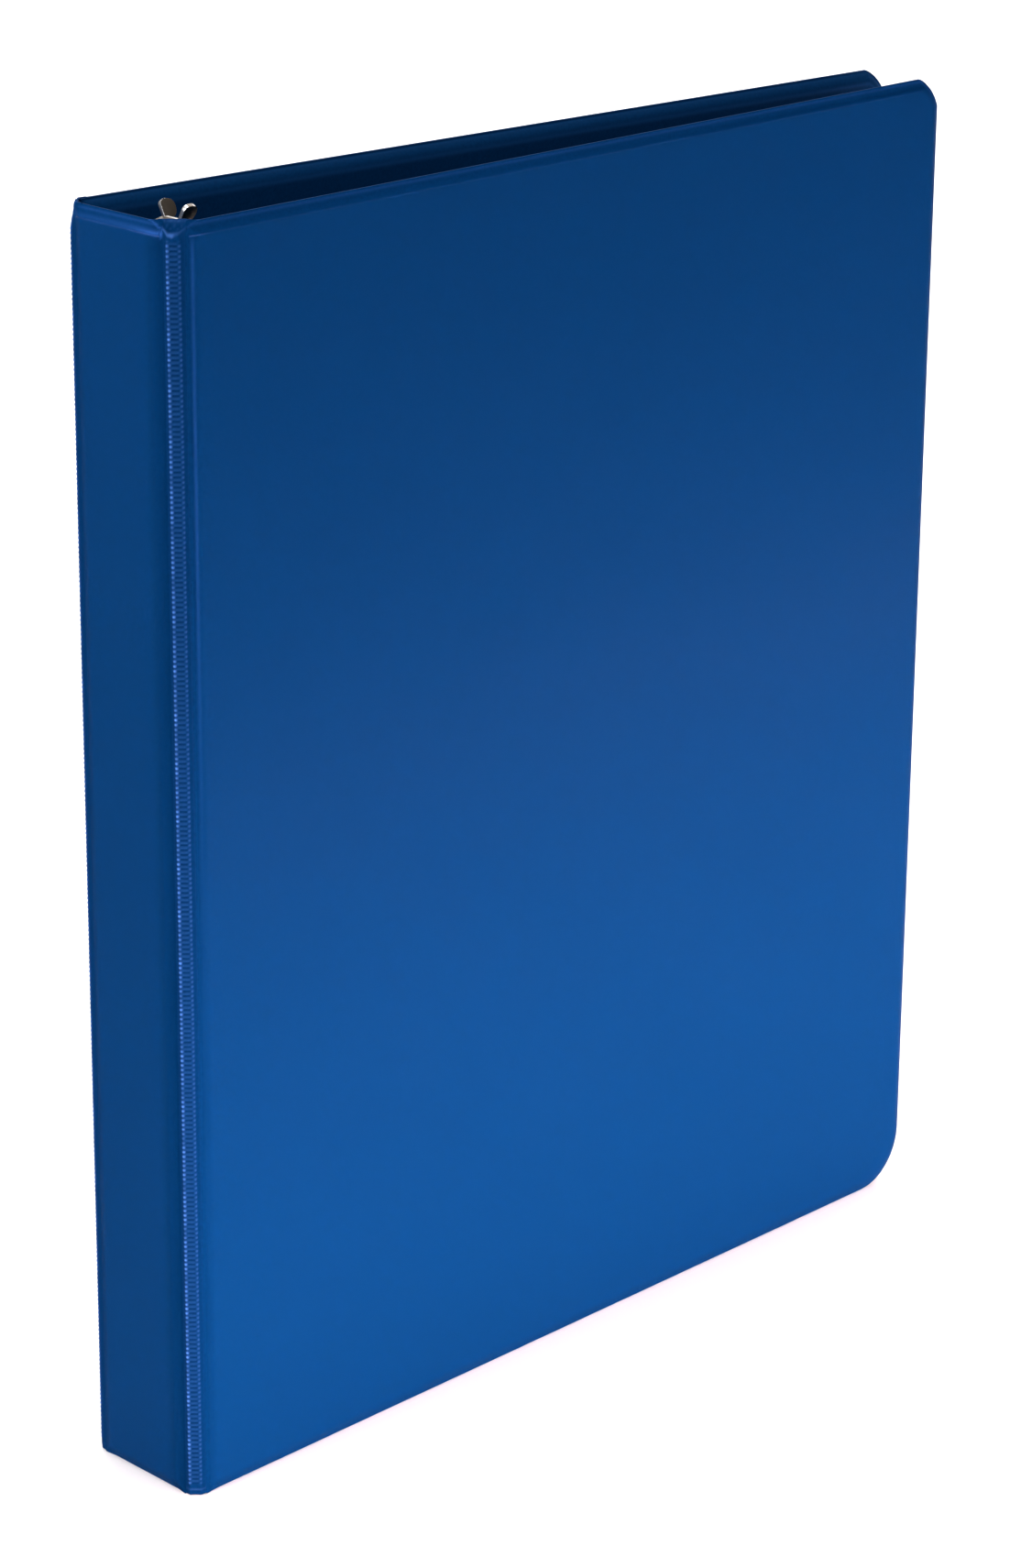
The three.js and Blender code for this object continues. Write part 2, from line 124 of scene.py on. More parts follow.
def make_piece(name, points, faces, material):
    """A closed mesh from points in metres, with its faces turned outwards and smooth shading."""
    mesh = bpy.data.meshes.new(name)
    mesh.from_pydata([tuple(p) for p in points], [], [tuple(int(i) for i in f) for f in faces])
    mesh.update()
    piece = bpy.data.objects.new(name, mesh)
    bpy.context.scene.collection.objects.link(piece)
    turn_outwards(mesh)
    mesh.shade_smooth()
    mesh.materials.append(material)
    return piece


def turn_outwards(mesh):
    """Turns every face of a closed mesh to the outside."""
    work = bmesh.new()
    work.from_mesh(mesh)
    bmesh.ops.recalc_face_normals(work, faces=work.faces)
    if work.calc_volume(signed=True) < 0:
        bmesh.ops.reverse_faces(work, faces=work.faces)
    work.to_mesh(mesh)
    work.free()


def set_tone(piece, wear_and_highlight, shade=0.0):
    """Stores the two tones of each point."""
    for name, values in (("wear_and_highlight", wear_and_highlight), ("shade", shade)):
        layer = piece.data.attributes.new(name, "FLOAT", "POINT")
        values = np.broadcast_to(np.clip(values, 0, 1), len(piece.data.vertices))
        layer.data.foreach_set("value", values.astype(np.float32))


def settle(piece):
    """Applies the piece's modifiers, so that its own mesh is the final one."""
    depsgraph = bpy.context.evaluated_depsgraph_get()
    final = bpy.data.meshes.new_from_object(piece.evaluated_get(depsgraph), depsgraph=depsgraph)
    piece.modifiers.clear()
    piece.data = final
    return piece


def finish_piece(piece, body, slot, *replaced):
    """Hides the CAD nodes that the piece replaces and puts it on the body that it rides on; slot is not used."""
    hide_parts(*replaced)
    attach(piece, body)


def smooth(t):
    """0 up to t = 0, 1 from t = 1, and an even rise between them."""
    t = np.clip(t, 0, 1)
    return t * t * (3 - 2 * t)


def hump(x, width):
    """1 at x = 0, falling off to both sides over about the width."""
    return np.exp(-(x / width) ** 2)


def waves(a, b, seed):
    """A slow unevenness from -1 to 1, as stiff vinyl has over board."""
    return 0.5 * (np.sin(a / 23 + seed) * np.cos(b / 31 - seed) + np.sin(a / 47 - b / 39 + 2 * seed))


def tube_faces(rows, around):
    """Quads of a grid of points whose rows close on themselves."""
    faces = []
    for j in range(rows - 1):
        for i in range(around):
            k = (i + 1) % around
            faces.append((j * around + i, j * around + k, (j + 1) * around + k, (j + 1) * around + i))
    return faces


def grid_faces(rows, columns):
    """Quads of an open grid of points."""
    return [(k, k + 1, k + 1 + columns, k + columns)
            for j in range(rows - 1) for k in range(j * columns, (j + 1) * columns - 1)]


def border(rows, columns):
    """The points round an open grid, as indices."""
    right = [(j + 1) * columns - 1 for j in range(1, rows - 1)]
    top = [(rows - 1) * columns + i for i in reversed(range(columns))]
    left = [j * columns for j in reversed(range(1, rows - 1))]
    return list(range(columns)) + right + top + left


def two_sided(faces, edge, shift):
    """A face's quads, the same ones on the points that come shift later, and the strip that joins them."""
    faces = faces + [tuple(i + shift for i in reversed(f)) for f in faces]
    for here, after in zip(edge, edge[1:] + edge[:1]):
        faces.append((here, here + shift, after + shift, after))
    return faces


def flat_end_faces(rows, around):
    """Quads that close both ends of a flattened tube, from its outer to its inner face."""
    faces = []
    for first in (0, (rows - 1) * around):
        for i in range(around // 2 - 1):
            last = first + around - 1 - i
            faces.append((first + i, first + i + 1, last - 1, last))
    return faces


def normals_of(line, turn):
    """Unit vectors square to a line of points, to its left for turn 1 and to its right for turn -1."""
    tangent = np.gradient(line, axis=0)
    tangent /= np.linalg.norm(tangent, axis=1)[:, None]
    return np.stack([-turn * tangent[:, 1], turn * tangent[:, 0]], 1)


# ---------------- panels ----------------

class Panel:
    """The frame and outline of one panel. hinge_both is true for the spine, with a hinge at each side."""

    def __init__(self, origin, along, inward, near, far, height, hinge_both, seed):
        self.origin, self.along, self.inward = origin, along, inward
        self.near, self.far, self.height = near, far, height
        self.hinge_both, self.seed = hinge_both, seed
        self.crease = 0.0 if hinge_both else 1.0
        # top_shade sets the painted shade along a cover's top roll; the spine has none
        self.top_shade = 0.12 * self.crease
        self.top_cut = CORNER_CUT * self.crease
        self.top_far = NEAR_CORNER if hinge_both else TOP_CORNER
        self.bottom_far = NEAR_CORNER if hinge_both else BOTTOM_CORNER

    def place(self, a, b, d):
        """Points in metres from the panel's own coordinates in millimetres."""
        flat = np.outer(a, self.along) + np.outer(d, self.inward)
        return (self.origin + flat + np.outer(b, (0, 0, 1))) * MM

    def row(self, inset, level, up):
        """One edge of the outline from the near side to the far side, with half of its corners."""
        r_near = max(NEAR_CORNER - inset, 0.3)
        r_far = max((self.top_far if up > 0 else self.bottom_far) - inset, 0.3)
        turn = np.linspace(0, np.pi / 2, CORNER_STEPS)
        near, far = self.near + inset, self.far - inset
        share = np.linspace(0, 1, self.columns())
        share = 0.5 - 0.5 * np.cos(np.pi * share) if self.hinge_both else share ** 1.9
        middle = (near + r_near + (far - r_far - near - r_near) * share)[1:-1]
        cut, part = (self.top_cut if up > 0 else 0.0), np.linspace(0, 1, CORNER_STEPS)
        corner_a = (1 - cut) * (1 - np.sin(turn)) + cut * (1 - part)
        corner_drop = (1 - cut) * (1 - np.cos(turn)) + cut * part
        a = np.concatenate([near + r_near * (1 - np.cos(turn)), middle, far - r_far * corner_a])
        drop = np.concatenate([r_near * (1 - np.sin(turn)), 0 * middle, r_far * corner_drop])
        return np.stack([a, level - up * drop], 1)

    def columns(self):
        """Number of points along the straight part of a row."""
        return 34 + int((self.far - self.near) / 6)

    def rows(self, inset, top_inset):
        """The bottom and the top row of the outline, moved inwards."""
        return self.row(inset, inset, -1), self.row(inset, self.height - top_inset, 1)

    def inset(self, a, b):
        """How far inside the panel's outline a point lies."""
        half_a, half_b = (self.far - self.near) / 2, self.height / 2
        from_mid, from_level = a - (self.near + self.far) / 2, b - half_b
        far_radius = np.where(from_level > 0, self.top_far, self.bottom_far)
        radius = np.where(from_mid > 0, far_radius, NEAR_CORNER)
        qa, qb = np.abs(from_mid) - half_a + radius, np.abs(from_level) - half_b + radius
        cut = np.where((from_mid > 0) & (from_level > 0), self.top_cut, 0)
        over_a, over_b = np.maximum(qa, 0), np.maximum(qb, 0)
        corner = (1 - cut) * np.hypot(over_a, over_b) + cut * (over_a + over_b)
        return radius - corner - np.minimum(np.maximum(qa, qb), 0)

    def hinge_share(self, a):
        """1 at a hinge side, 0 from 4 mm inside it."""
        share = smooth(1 - (a - self.near) / 4)
        if self.hinge_both:
            share = np.maximum(share, smooth(1 - (self.far - a) / 4))
        return share

    def roll(self, a, b):
        """0 over the board, rising to 1 at the flat weld."""
        return np.clip(1 - (self.inset(a, b) - FLANGE) / ROLL, 0, 1)

    def outer_depth(self, a, b):
        """Depth of the outer vinyl's face."""
        last = WELD_DEPTH - VINYL * 0.8
        last = last + (HINGE_OUTER_DEPTH - last) * self.hinge_share(a)
        uneven = UNEVEN_OUTER * waves(a, b, self.seed) * smooth(self.inset(a, b) / 12)
        return FACE_DEPTH + (last - FACE_DEPTH) * self.roll(a, b) ** 2 + self.pull(a, b) + uneven

    def valley(self, a, b):
        """A crease along the film's open edge that deepens towards the free corner, from 0 to 1; it sets the
        crease's depth and a painted shadow along it.
        """
        outwards = smooth((a - self.near) / (self.far - self.near) * 1.25 - 0.3)
        return self.crease * hump(b - (self.height - FILM_TOP + 0.75), 0.55) * outwards

    def pull(self, a, b):
        """How far the crease pulls the vinyl in."""
        return CREASE_DEPTH * self.valley(a, b)

    def inner_depth(self, a, b):
        """Depth of the inner vinyl's face, the one that shows inside the binder."""
        last = WELD_DEPTH + LINER * 0.9
        last = last + (HINGE_INNER_DEPTH - last) * self.hinge_share(a)
        uneven = UNEVEN_INNER * waves(a, b, self.seed + 2) * smooth(self.inset(a, b) / 12)
        return INNER_FACE - (INNER_FACE - last) * self.roll(a, b) ** 2 + uneven


class HingeFrame:
    """s runs across the web from the spine to the cover, n points out of the binder.

    At the top the vinyl is tucked in: a slanting fold cuts the corner, tuck_depth deep and tuck_height high.
    """

    def __init__(self, name, side, tuck_depth, tuck_height, tuck_curve):
        self.axis = np.array(joint_named(name + "_cover_hinge")["pos_m"][:2]) / MM
        self.across = np.array([1.0, side]) / math.sqrt(2)
        self.out = np.array([-1.0, side]) / math.sqrt(2)
        self.tuck_depth, self.tuck_height, self.tuck_curve = tuck_depth, tuck_height, tuck_curve

    def local(self, point):
        """(s, n) of a point in metres."""
        rel = point[:2] / MM - self.axis
        return np.array([rel @ self.across, rel @ self.out])

    def place(self, s, n, z):
        """Points in metres from s, n and the height z in millimetres."""
        flat = self.axis + np.multiply.outer(s, self.across) + np.multiply.outer(n, self.out)
        return np.concatenate([flat, z[..., None]], -1) * MM

    def tuck(self, points, under):
        """The points pressed in behind the fold, how close each lay to it, and how far each moved.

        under is the depth of the points' sheet below the fold's own surface.
        """
        rel = points[..., :2] / MM - self.axis
        s, n = rel @ self.across, rel @ self.out
        fold_height = self.tuck_height * (1 + 0.4 * np.clip(1 - np.abs(s + 0.3) / 1.7, 0, 1))
        rise = np.clip((points[..., 2] / MM - height + fold_height) / fold_height, 0, 1)
        crinkle = 0.16 * np.sin(2.3 * s + 1.1) + 0.1 * np.sin(5.2 * s - 7 * rise)
        limit = FOLD_START - (self.tuck_depth + FOLD_START) * rise ** self.tuck_curve + crinkle * rise
        near_fold = hump(n - limit, 0.4) * smooth(rise * 5)
        shift = np.minimum(limit - under - n, 0)
        moved = points.copy()
        moved[..., :2] += shift[..., None] * self.out * MM
        return moved, near_fold, smooth(-shift / 0.6)


def tucked(points, outer_count, under_front, under_back):
    """Both hinges' tucks on a sheet whose first outer_count points are its outer face."""
    under = np.where(np.arange(len(points)) < outer_count, under_front, under_back)
    points, front_fold, front_pressed = hinges["front"].tuck(points, under)
    points, rear_fold, _ = hinges["rear"].tuck(points, under)
    return points, np.maximum(front_fold, 0.4 * rear_fold), front_pressed


def sheet_layout(panel, insets, top_insets):
    """Grid and rings of one face: its (a, b) points, its faces, and the indices round its edge."""
    heights = 0.5 - 0.5 * np.cos(np.linspace(0, np.pi, SHEET_ROWS))[:, None]
    low, high = panel.rows(insets[0], top_insets[0])
    across = len(low)
    grid = low[None] + heights[..., None] * (high - low)[None]
    points = [grid.reshape(-1, 2)]
    faces, edge = grid_faces(SHEET_ROWS, across), border(SHEET_ROWS, across)
    count = SHEET_ROWS * across
    middle = heights[1:-1]
    for inset, top_inset in zip(insets[1:], top_insets[1:]):
        low, high = panel.rows(inset, top_inset)
        right_side = low[-1] + middle * (high[-1] - low[-1])
        left_side = (low[0] + middle * (high[0] - low[0]))[::-1]
        points.append(np.concatenate([low, right_side, high[::-1], left_side]))
        ring = list(range(count, count + len(edge)))
        count += len(edge)
        for i in range(len(edge)):
            j = (i + 1) % len(edge)
            faces.append((edge[i], ring[i], ring[j], edge[j]))
        edge = ring
    return np.concatenate(points), faces, edge


def closed_sheet(panel, insets, top_insets, front, back):
    """A thin closed body between two depth functions of (a, b), joined round the outline."""
    flat, faces, edge = sheet_layout(panel, insets, top_insets)
    a, b = flat[:, 0], flat[:, 1]
    points = np.concatenate([panel.place(a, b, front(a, b)), panel.place(a, b, back(a, b))])
    faces = two_sided(faces, edge, len(flat))
    return points, faces, np.concatenate([a, a]), np.concatenate([b, b])


def edge_insets(first, last, count):
    """Ring positions from the board's edge to the rim, closer together near the rim."""
    return last + (first - last) * (1 - np.linspace(0, 1, count)) ** 1.3


def build_skin(panel, name, body, node):
    """The coloured vinyl over the outside of a panel, down to its welded rim."""
    insets = edge_insets(EDGE_ZONE, 0.0, EDGE_RINGS)

    def thickness(a, b):
        return VINYL - 0.14 * smooth(1 - panel.inset(a, b) / FLANGE)

    def rounded(a, b):
        return 0.1 * smooth(1 - panel.inset(a, b) / 0.25)

    points, faces, a, b = closed_sheet(
        panel, insets, insets,
        lambda a, b: panel.outer_depth(a, b) + rounded(a, b),
        lambda a, b: panel.outer_depth(a, b) + thickness(a, b) - rounded(a, b),
    )
    points, fold, pressed = tucked(points, len(a) // 2, 0.0, 0.34)
    piece = make_piece(name, points, faces, cover_vinyl)
    share = panel.hinge_share(a)
    from_hinge = a - panel.near
    above_film = b - (panel.height - FILM_TOP)
    at_top = smooth((b - panel.height + 6) / 3)
    # a painted highlight just inside the top rim, away from the hinges, fainter on the covers
    crest_highlight = 0.25 * hump(panel.inset(a, b) - FLANGE - 0.1, 0.3) * (1 - share) * at_top
    wear_and_highlight = crest_highlight * (1 - panel.top_shade * 2)
    # painted shade on the roll beside each hinge and along a cover's top roll
    shade = smooth(panel.roll(a, b) * 2.5) * (0.22 * share + panel.top_shade * at_top * (1 - share))
    if panel.crease:
        # painted highlight along the cover's near edge in its upper half, and along the fold's crest
        upwards = smooth((b - 120) / 120) * smooth(-above_film / 2)
        wear_and_highlight = wear_and_highlight + 0.22 * hump(from_hinge - 1.6, 0.35) * upwards + 0.2 * fold
        # painted shadow along the crease under the film's open edge
        shade = shade + 0.32 * panel.valley(a, b)
    else:
        # painted highlights: a band just above the film's edge, a brighter end of it by the spine's near edge, and
        # the fold's crest
        top_band_highlight = 0.35 * hump(above_film - 0.5, 0.7) * (0.5 + 0.5 * smooth((panel.far - a) / 30))
        hinge_end_highlight = 0.5 * hump(above_film - 0.3, 0.3) * smooth((10 - from_hinge) / 8)
        wear_and_highlight = wear_and_highlight + top_band_highlight + hinge_end_highlight + 0.5 * fold
        # painted shade in a band beside the spine's near edge
        shade = shade + 0.28 * smooth((6 - from_hinge) / 3)
    set_tone(piece, wear_and_highlight, np.maximum(shade, PRESSED_SHADE * pressed))
    finish_piece(piece, body, "cover_vinyl", node)


def build_liner(panel, name, body, node):
    """The inner vinyl, welded to the outer one round the rim."""
    insets = edge_insets(EDGE_ZONE, 0.04, EDGE_RINGS)
    points, faces, a, b = closed_sheet(
        panel, insets, insets,
        lambda a, b: panel.inner_depth(a, b) - LINER,
        panel.inner_depth,
    )
    points, _, _ = tucked(points, len(a) // 2, 0.42, 0.7)
    piece = make_piece(name, points, faces, liner_vinyl)
    inset = panel.inset(a, b)
    # painted highlights: pale lines along the weld and along the foot of the roll
    set_tone(piece, 0.25 * hump(inset - FLANGE, 0.3) + 0.4 * hump(inset - FLANGE - ROLL, 0.5))
    finish_piece(piece, body, "liner_vinyl", node)


def build_film(panel, name, body, node):
    """The clear pocket, welded at the sides and the bottom and open at the top."""
    insets = edge_insets(EDGE_ZONE, FLANGE + 0.3, 14)
    top_insets = np.linspace(FILM_TOP + 0.6, FILM_TOP, len(insets))

    def top_of_film(a, b):
        lift = FILM_LIFT + FILM + panel.pull(a, b)
        return panel.outer_depth(a, b) - lift

    points, faces, a, b = closed_sheet(
        panel, insets, top_insets, top_of_film, lambda a, b: top_of_film(a, b) + FILM,
    )
    piece = make_piece(name, points, faces, clear_film)
    from_hinge = a - panel.near
    fading = 1 - 0.85 * smooth(from_hinge / 8) if panel.crease else 0.3 + 0.7 * smooth(1 - from_hinge / 12)
    # the open edge is drawn more opaque and paler, a painted highlight strongest near the hinge
    set_tone(piece, hump(b - (panel.height - FILM_TOP), 0.22) * fading)
    finish_piece(piece, body, "clear_film", node)


# ---------------- materials ----------------

def new_material(name):
    """A new material, its node tree and its Principled shader."""
    material = bpy.data.materials.new(name)
    material.use_nodes = True
    tree = material.node_tree
    shader = next(n for n in tree.nodes if n.type == "BSDF_PRINCIPLED")
    return material, tree, shader


def add_node(tree, kind, links=(), **settings):
    """A node with its settings and inputs. An input is a value, or a socket to link from."""
    node = tree.nodes.new(kind)
    for key, value in settings.items():
        setattr(node, key, value)
    for key, value in dict(links).items():
        if isinstance(value, bpy.types.NodeSocket):
            tree.links.new(value, node.inputs[key])
        else:
            node.inputs[key].default_value = value
    return node


def noise_of(tree, scale, detail=2.0):
    """A noise value in the object's own metres; scale is in features per metre."""
    place = add_node(tree, "ShaderNodeTexCoord").outputs["Object"]
    links = {"Vector": place, "Scale": scale, "Detail": detail}
    return add_node(tree, "ShaderNodeTexNoise", links).outputs["Fac"]


def ramp(tree, value, low, high, start=0.0, end=1.0):
    """The value of a socket moved from the range start to end to the range low to high."""
    limits = {"From Min": start, "From Max": end, "To Min": low, "To Max": high}
    return add_node(tree, "ShaderNodeMapRange", {"Value": value, **limits}).outputs["Result"]


def tone(tree, name):
    """A tone that the mesh carries: wear_and_highlight, or shade, which is painted shade."""
    return add_node(tree, "ShaderNodeAttribute", attribute_name=name).outputs["Fac"]


def add_bump(tree, shader, height_value, strength, distance):
    """Relief of the surface; the distance is in metres."""
    links = {"Height": height_value, "Strength": strength, "Distance": distance}
    tree.links.new(add_node(tree, "ShaderNodeBump", links).outputs["Normal"], shader.inputs["Normal"])


def mix_colour(tree, share, first, second):
    """A blend of two colours or sockets: the first at share 0, the second at share 1."""
    node = add_node(tree, "ShaderNodeMix", {"Factor": share, "A": (0, 0, 0, 1)}, data_type="RGBA")
    for socket, value in ((node.inputs[6], first), (node.inputs[7], second)):
        if isinstance(value, bpy.types.NodeSocket):
            tree.links.new(value, socket)
        else:
            socket.default_value = value
    return node.outputs[2]


def times(colour, factor):
    """A colour made darker or lighter."""
    return tuple(factor * c for c in colour[:3]) + (1,)


def vinyl(name, base, cloudy, pale, roughness, grain, specular):
    """Calendered vinyl: a fine pebbled grain, faint cloudiness, pale where it is stretched or carries a painted
    highlight, and darkened where it carries painted shade.
    """
    material, tree, shader = new_material(name)
    shade = tone(tree, "shade")
    body = mix_colour(tree, noise_of(tree, 28, 4), base, cloudy)
    speckle = ramp(tree, noise_of(tree, 1500, 2), 0, 1, 0.35, 0.65)
    body = mix_colour(tree, speckle, times(base, 0.9), body)
    # painted shade: darkening towards a third of the base colour
    body = mix_colour(tree, shade, body, times(base, 0.35))
    # stretched vinyl and painted highlights turn pale
    body = mix_colour(tree, tone(tree, "wear_and_highlight"), body, pale)
    tree.links.new(body, shader.inputs["Base Color"])
    dullness = ramp(tree, noise_of(tree, 60, 3), roughness - 0.06, roughness + 0.06)
    tree.links.new(dullness, shader.inputs["Roughness"])
    shine = ramp(tree, shade, specular, 0, 0, PRESSED_SHADE)
    tree.links.new(shine, shader.inputs["Specular IOR Level"])
    shader.inputs["Specular Tint"].default_value = SHEEN_TINT
    grains = {0: noise_of(tree, 2600, 1), 1: noise_of(tree, 900, 2)}
    pebble = add_node(tree, "ShaderNodeMath", grains, operation="ADD").outputs[0]
    add_bump(tree, shader, pebble, grain, 0.00004)
    return material


def film(name):
    """Clear polypropylene, nearly unseen on its face, and more opaque and paler where wear_and_highlight is set, a
    painted highlight along its cut edge.
    """
    material, tree, shader = new_material(name)
    shader.inputs["Base Color"].default_value = (0.03, 0.11, 0.42, 1)
    shader.inputs["Specular Tint"].default_value = SHEEN_TINT
    shader.inputs["Specular IOR Level"].default_value = 0.2
    tree.links.new(ramp(tree, tone(tree, "wear_and_highlight"), 0.006, 0.5), shader.inputs["Alpha"])
    tree.links.new(ramp(tree, noise_of(tree, 40, 3), 0.16, 0.28), shader.inputs["Roughness"])
    return material


def metal(name, colour, smudge, rim, roughness, brushed):
    """Plated steel: faint smudges, the rim colour where wear_and_highlight is set (a painted highlight on the
    trigger's ear rims), and fine brushing along Z.
    """
    material, tree, shader = new_material(name)
    place = add_node(tree, "ShaderNodeTexCoord").outputs["Object"]
    stretched = add_node(tree, "ShaderNodeMapping", {"Vector": place, "Scale": (2200, 2200, 60)}).outputs[0]
    lines = add_node(tree, "ShaderNodeTexNoise", {"Vector": stretched, "Scale": 1.0, "Detail": 2.0})
    face = mix_colour(tree, noise_of(tree, 180, 3), colour, smudge)
    # the rim colour here is a painted highlight
    tree.links.new(mix_colour(tree, tone(tree, "wear_and_highlight"), face, rim), shader.inputs["Base Color"])
    dullness = ramp(tree, noise_of(tree, 240, 3), roughness - 0.08, roughness + 0.1)
    tree.links.new(dullness, shader.inputs["Roughness"])
    shader.inputs["Metallic"].default_value = 1.0
    add_bump(tree, shader, lines.outputs["Fac"], brushed, 0.00002)
    return material


def chipboard(name):
    """Grey board: pressed fibres in two tones and a rough, slightly pitted face."""
    material, tree, shader = new_material(name)
    fibres = noise_of(tree, 1400, 6)
    patches = noise_of(tree, 90, 3)
    grey = mix_colour(tree, patches, (0.36, 0.32, 0.26, 1), (0.46, 0.42, 0.35, 1))
    tree.links.new(mix_colour(tree, fibres, grey, (0.24, 0.20, 0.16, 1)), shader.inputs["Base Color"])
    shader.inputs["Roughness"].default_value = 0.92
    add_bump(tree, shader, fibres, 0.5, 0.00008)
    return material


# Each vinyl's pale colour shows where it is stretched and where highlights are painted; the hinge's brighter pale
# is mostly painted highlight on the knurl's dots.
cover_vinyl = vinyl(
    "cover_vinyl", base=(0.0010, 0.0280, 0.107, 1), cloudy=(0.0012, 0.0305, 0.118, 1),
    pale=(0.022, 0.095, 0.36, 1), roughness=0.50, grain=0.35, specular=0.005)
hinge_vinyl = vinyl(
    "hinge_vinyl", base=(0.0012, 0.0275, 0.107, 1), cloudy=(0.0014, 0.0305, 0.118, 1),
    pale=(0.090, 0.250, 0.76, 1), roughness=0.42, grain=0.25, specular=0.01)
liner_vinyl = vinyl(
    "liner_vinyl", base=(0.0006, 0.025, 0.090, 1), cloudy=(0.0008, 0.029, 0.100, 1),
    pale=(0.010, 0.070, 0.23, 1), roughness=0.52, grain=0.45, specular=0.03)
pocket_vinyl = vinyl(
    "pocket_vinyl", base=(0.0008, 0.033, 0.118, 1), cloudy=(0.0010, 0.037, 0.128, 1),
    pale=(0.018, 0.100, 0.32, 1), roughness=0.36, grain=0.20, specular=0.08)
clear_film = film("clear_film")
nickel_steel = metal(
    "nickel_steel", colour=(0.33, 0.315, 0.29, 1), smudge=(0.25, 0.24, 0.22, 1),
    rim=(0.48, 0.46, 0.43, 1), roughness=0.3, brushed=0.1)
# a dark copy of the nickel plating: its dark face is a painted reflection, its near-white rim a painted highlight
trigger_steel_painted_light = metal(
    "trigger_steel_painted_light", colour=(0.15, 0.125, 0.10, 1), smudge=(0.10, 0.082, 0.066, 1),
    rim=(0.92, 0.90, 0.88, 1), roughness=0.3, brushed=0.12)
zinc_steel = metal(
    "zinc_steel", colour=(0.26, 0.265, 0.27, 1), smudge=(0.20, 0.205, 0.21, 1),
    rim=(0.38, 0.385, 0.39, 1), roughness=0.38, brushed=0.35)
grey_board = chipboard("grey_board")


# ---------------- frames from the CAD ----------------

def joint_named(name):
    """The joint's row in the frame."""
    return next(j for j in frame["joints"] if j["name"] == name)


def mount_named(name):
    """The mount's row in the part's record."""
    return next(m for m in frame["record"]["mounts"] if m["name"] == name)


def span(node, direction, origin):
    """Lowest and highest reach of a CAD node along a direction, in millimetres."""
    points = np.array([v.co for v in frame["nodes"][node].data.vertices], float) / MM
    reach = (points - origin) @ direction
    return reach.min(), reach.max()


spine_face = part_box("spine_clear_overlay")[0].x / MM
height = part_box("front_outer_vinyl")[1].z / MM
lean = mount_named("rear_cover_face")["axis"]


def spine_panel():
    """The spine's panel: a runs across it along Y, d into the binder along X."""
    origin = np.array([spine_face, 0.0, 0.0])
    along, inward = np.array([0.0, 1.0, 0.0]), np.array([1.0, 0.0, 0.0])
    near, far = span("spine_outer_vinyl", along, origin)
    return Panel(origin, along, inward, near, far, height, True, 0.4)


def cover_panel(name, side):
    """A cover's panel, from its hinge. side is -1 for the front cover and 1 for the rear one."""
    hinge = np.array(joint_named(name + "_cover_hinge")["pos_m"]) / MM
    inward = np.array([-lean[0], -side * lean[1], 0.0])
    along = np.array([lean[1], -side * lean[0], 0.0])
    hinge[2] = 0
    depth = span(name + "_clear_overlay", inward, hinge)[0]
    near, far = span(name + "_outer_vinyl", along, hinge)
    return Panel(hinge + inward * depth, along, inward, near, far, height, False, 1.1 + side)


hinges = {
    "front": HingeFrame("front", -1, tuck_depth=4.6, tuck_height=2.5, tuck_curve=1.7),
    "rear": HingeFrame("rear", 1, tuck_depth=1.2, tuck_height=6.5, tuck_curve=1.2),
}
panels = {"spine": spine_panel(), "front": cover_panel("front", -1), "rear": cover_panel("rear", 1)}


# ---------------- hinge webs ----------------

def smooth_path(corners, count):
    """A smooth curve through the corner points (Catmull-Rom), as evenly spaced points."""
    p = np.array(corners, float)
    p = np.concatenate([[2 * p[0] - p[1]], p, [2 * p[-1] - p[-2]]])
    fine = []
    for i in range(len(p) - 3):
        p0, p1, p2, p3 = p[i:i + 4]
        for t in np.linspace(0, 1, 12, endpoint=False):
            fine.append(0.5 * (2 * p1 + (p2 - p0) * t + (2 * p0 - 5 * p1 + 4 * p2 - p3) * t ** 2
                               + (3 * p1 - p0 - 3 * p2 + p3) * t ** 3))
    fine = np.array(fine + [p[-2]])
    length = np.concatenate([[0], np.cumsum(np.linalg.norm(np.diff(fine, axis=0), axis=1))])
    even = np.linspace(0, length[-1], count)
    return np.stack([np.interp(even, length, fine[:, k]) for k in (0, 1)], 1)


def web_section(hinge, spine, cover, side):
    """The web's outer line from inside the spine's edge to inside the cover's, as (s, n) points."""
    def on_spine(inside, d):
        return hinge.local(spine.place([side * (spine.far - inside)], [0], [d])[0])

    def on_cover(inside, d):
        return hinge.local(cover.place([cover.near + inside], [0], [d])[0])

    return [
        on_spine(2.0, 1.30), on_spine(1.0, 1.28), on_spine(0.0, HINGE_OUTER_DEPTH + 0.1),
        (-1.95, -0.80), (-1.45, -0.34), (-BEAD_S + 0.05, -0.16), (-0.6, -0.2), (0.0, -0.2), (0.6, -0.2),
        (BEAD_S - 0.05, -0.2), (1.5, -0.42), (2.0, -0.86),
        on_cover(0.0, HINGE_OUTER_DEPTH + 0.1), on_cover(1.0, 1.28), on_cover(2.0, 1.30),
    ]


def between_rows(s):
    """1 between the two rows of dots and 0 past them."""
    return smooth((RUNG_REACH - np.abs(s)) / 0.25)


def knurl(s, z, level):
    """Height of the weld's pattern: a row of dots along each side and rungs between them."""
    dots = 0.5 + 0.5 * np.cos(2 * np.pi * z / KNURL_PITCH)
    rungs = 0.5 + 0.5 * np.cos(2 * np.pi * z / KNURL_PITCH + np.pi)
    pattern = hump(s + BEAD_S, 0.27) * (0.04 + 0.2 * dots) + hump(s - BEAD_S, 0.2) * 0.15 * dots
    pattern = pattern + between_rows(s) * 0.13 * rungs
    return level * pattern + (1 - level) * 0.05 * hump(s + BEAD_S, 0.3)


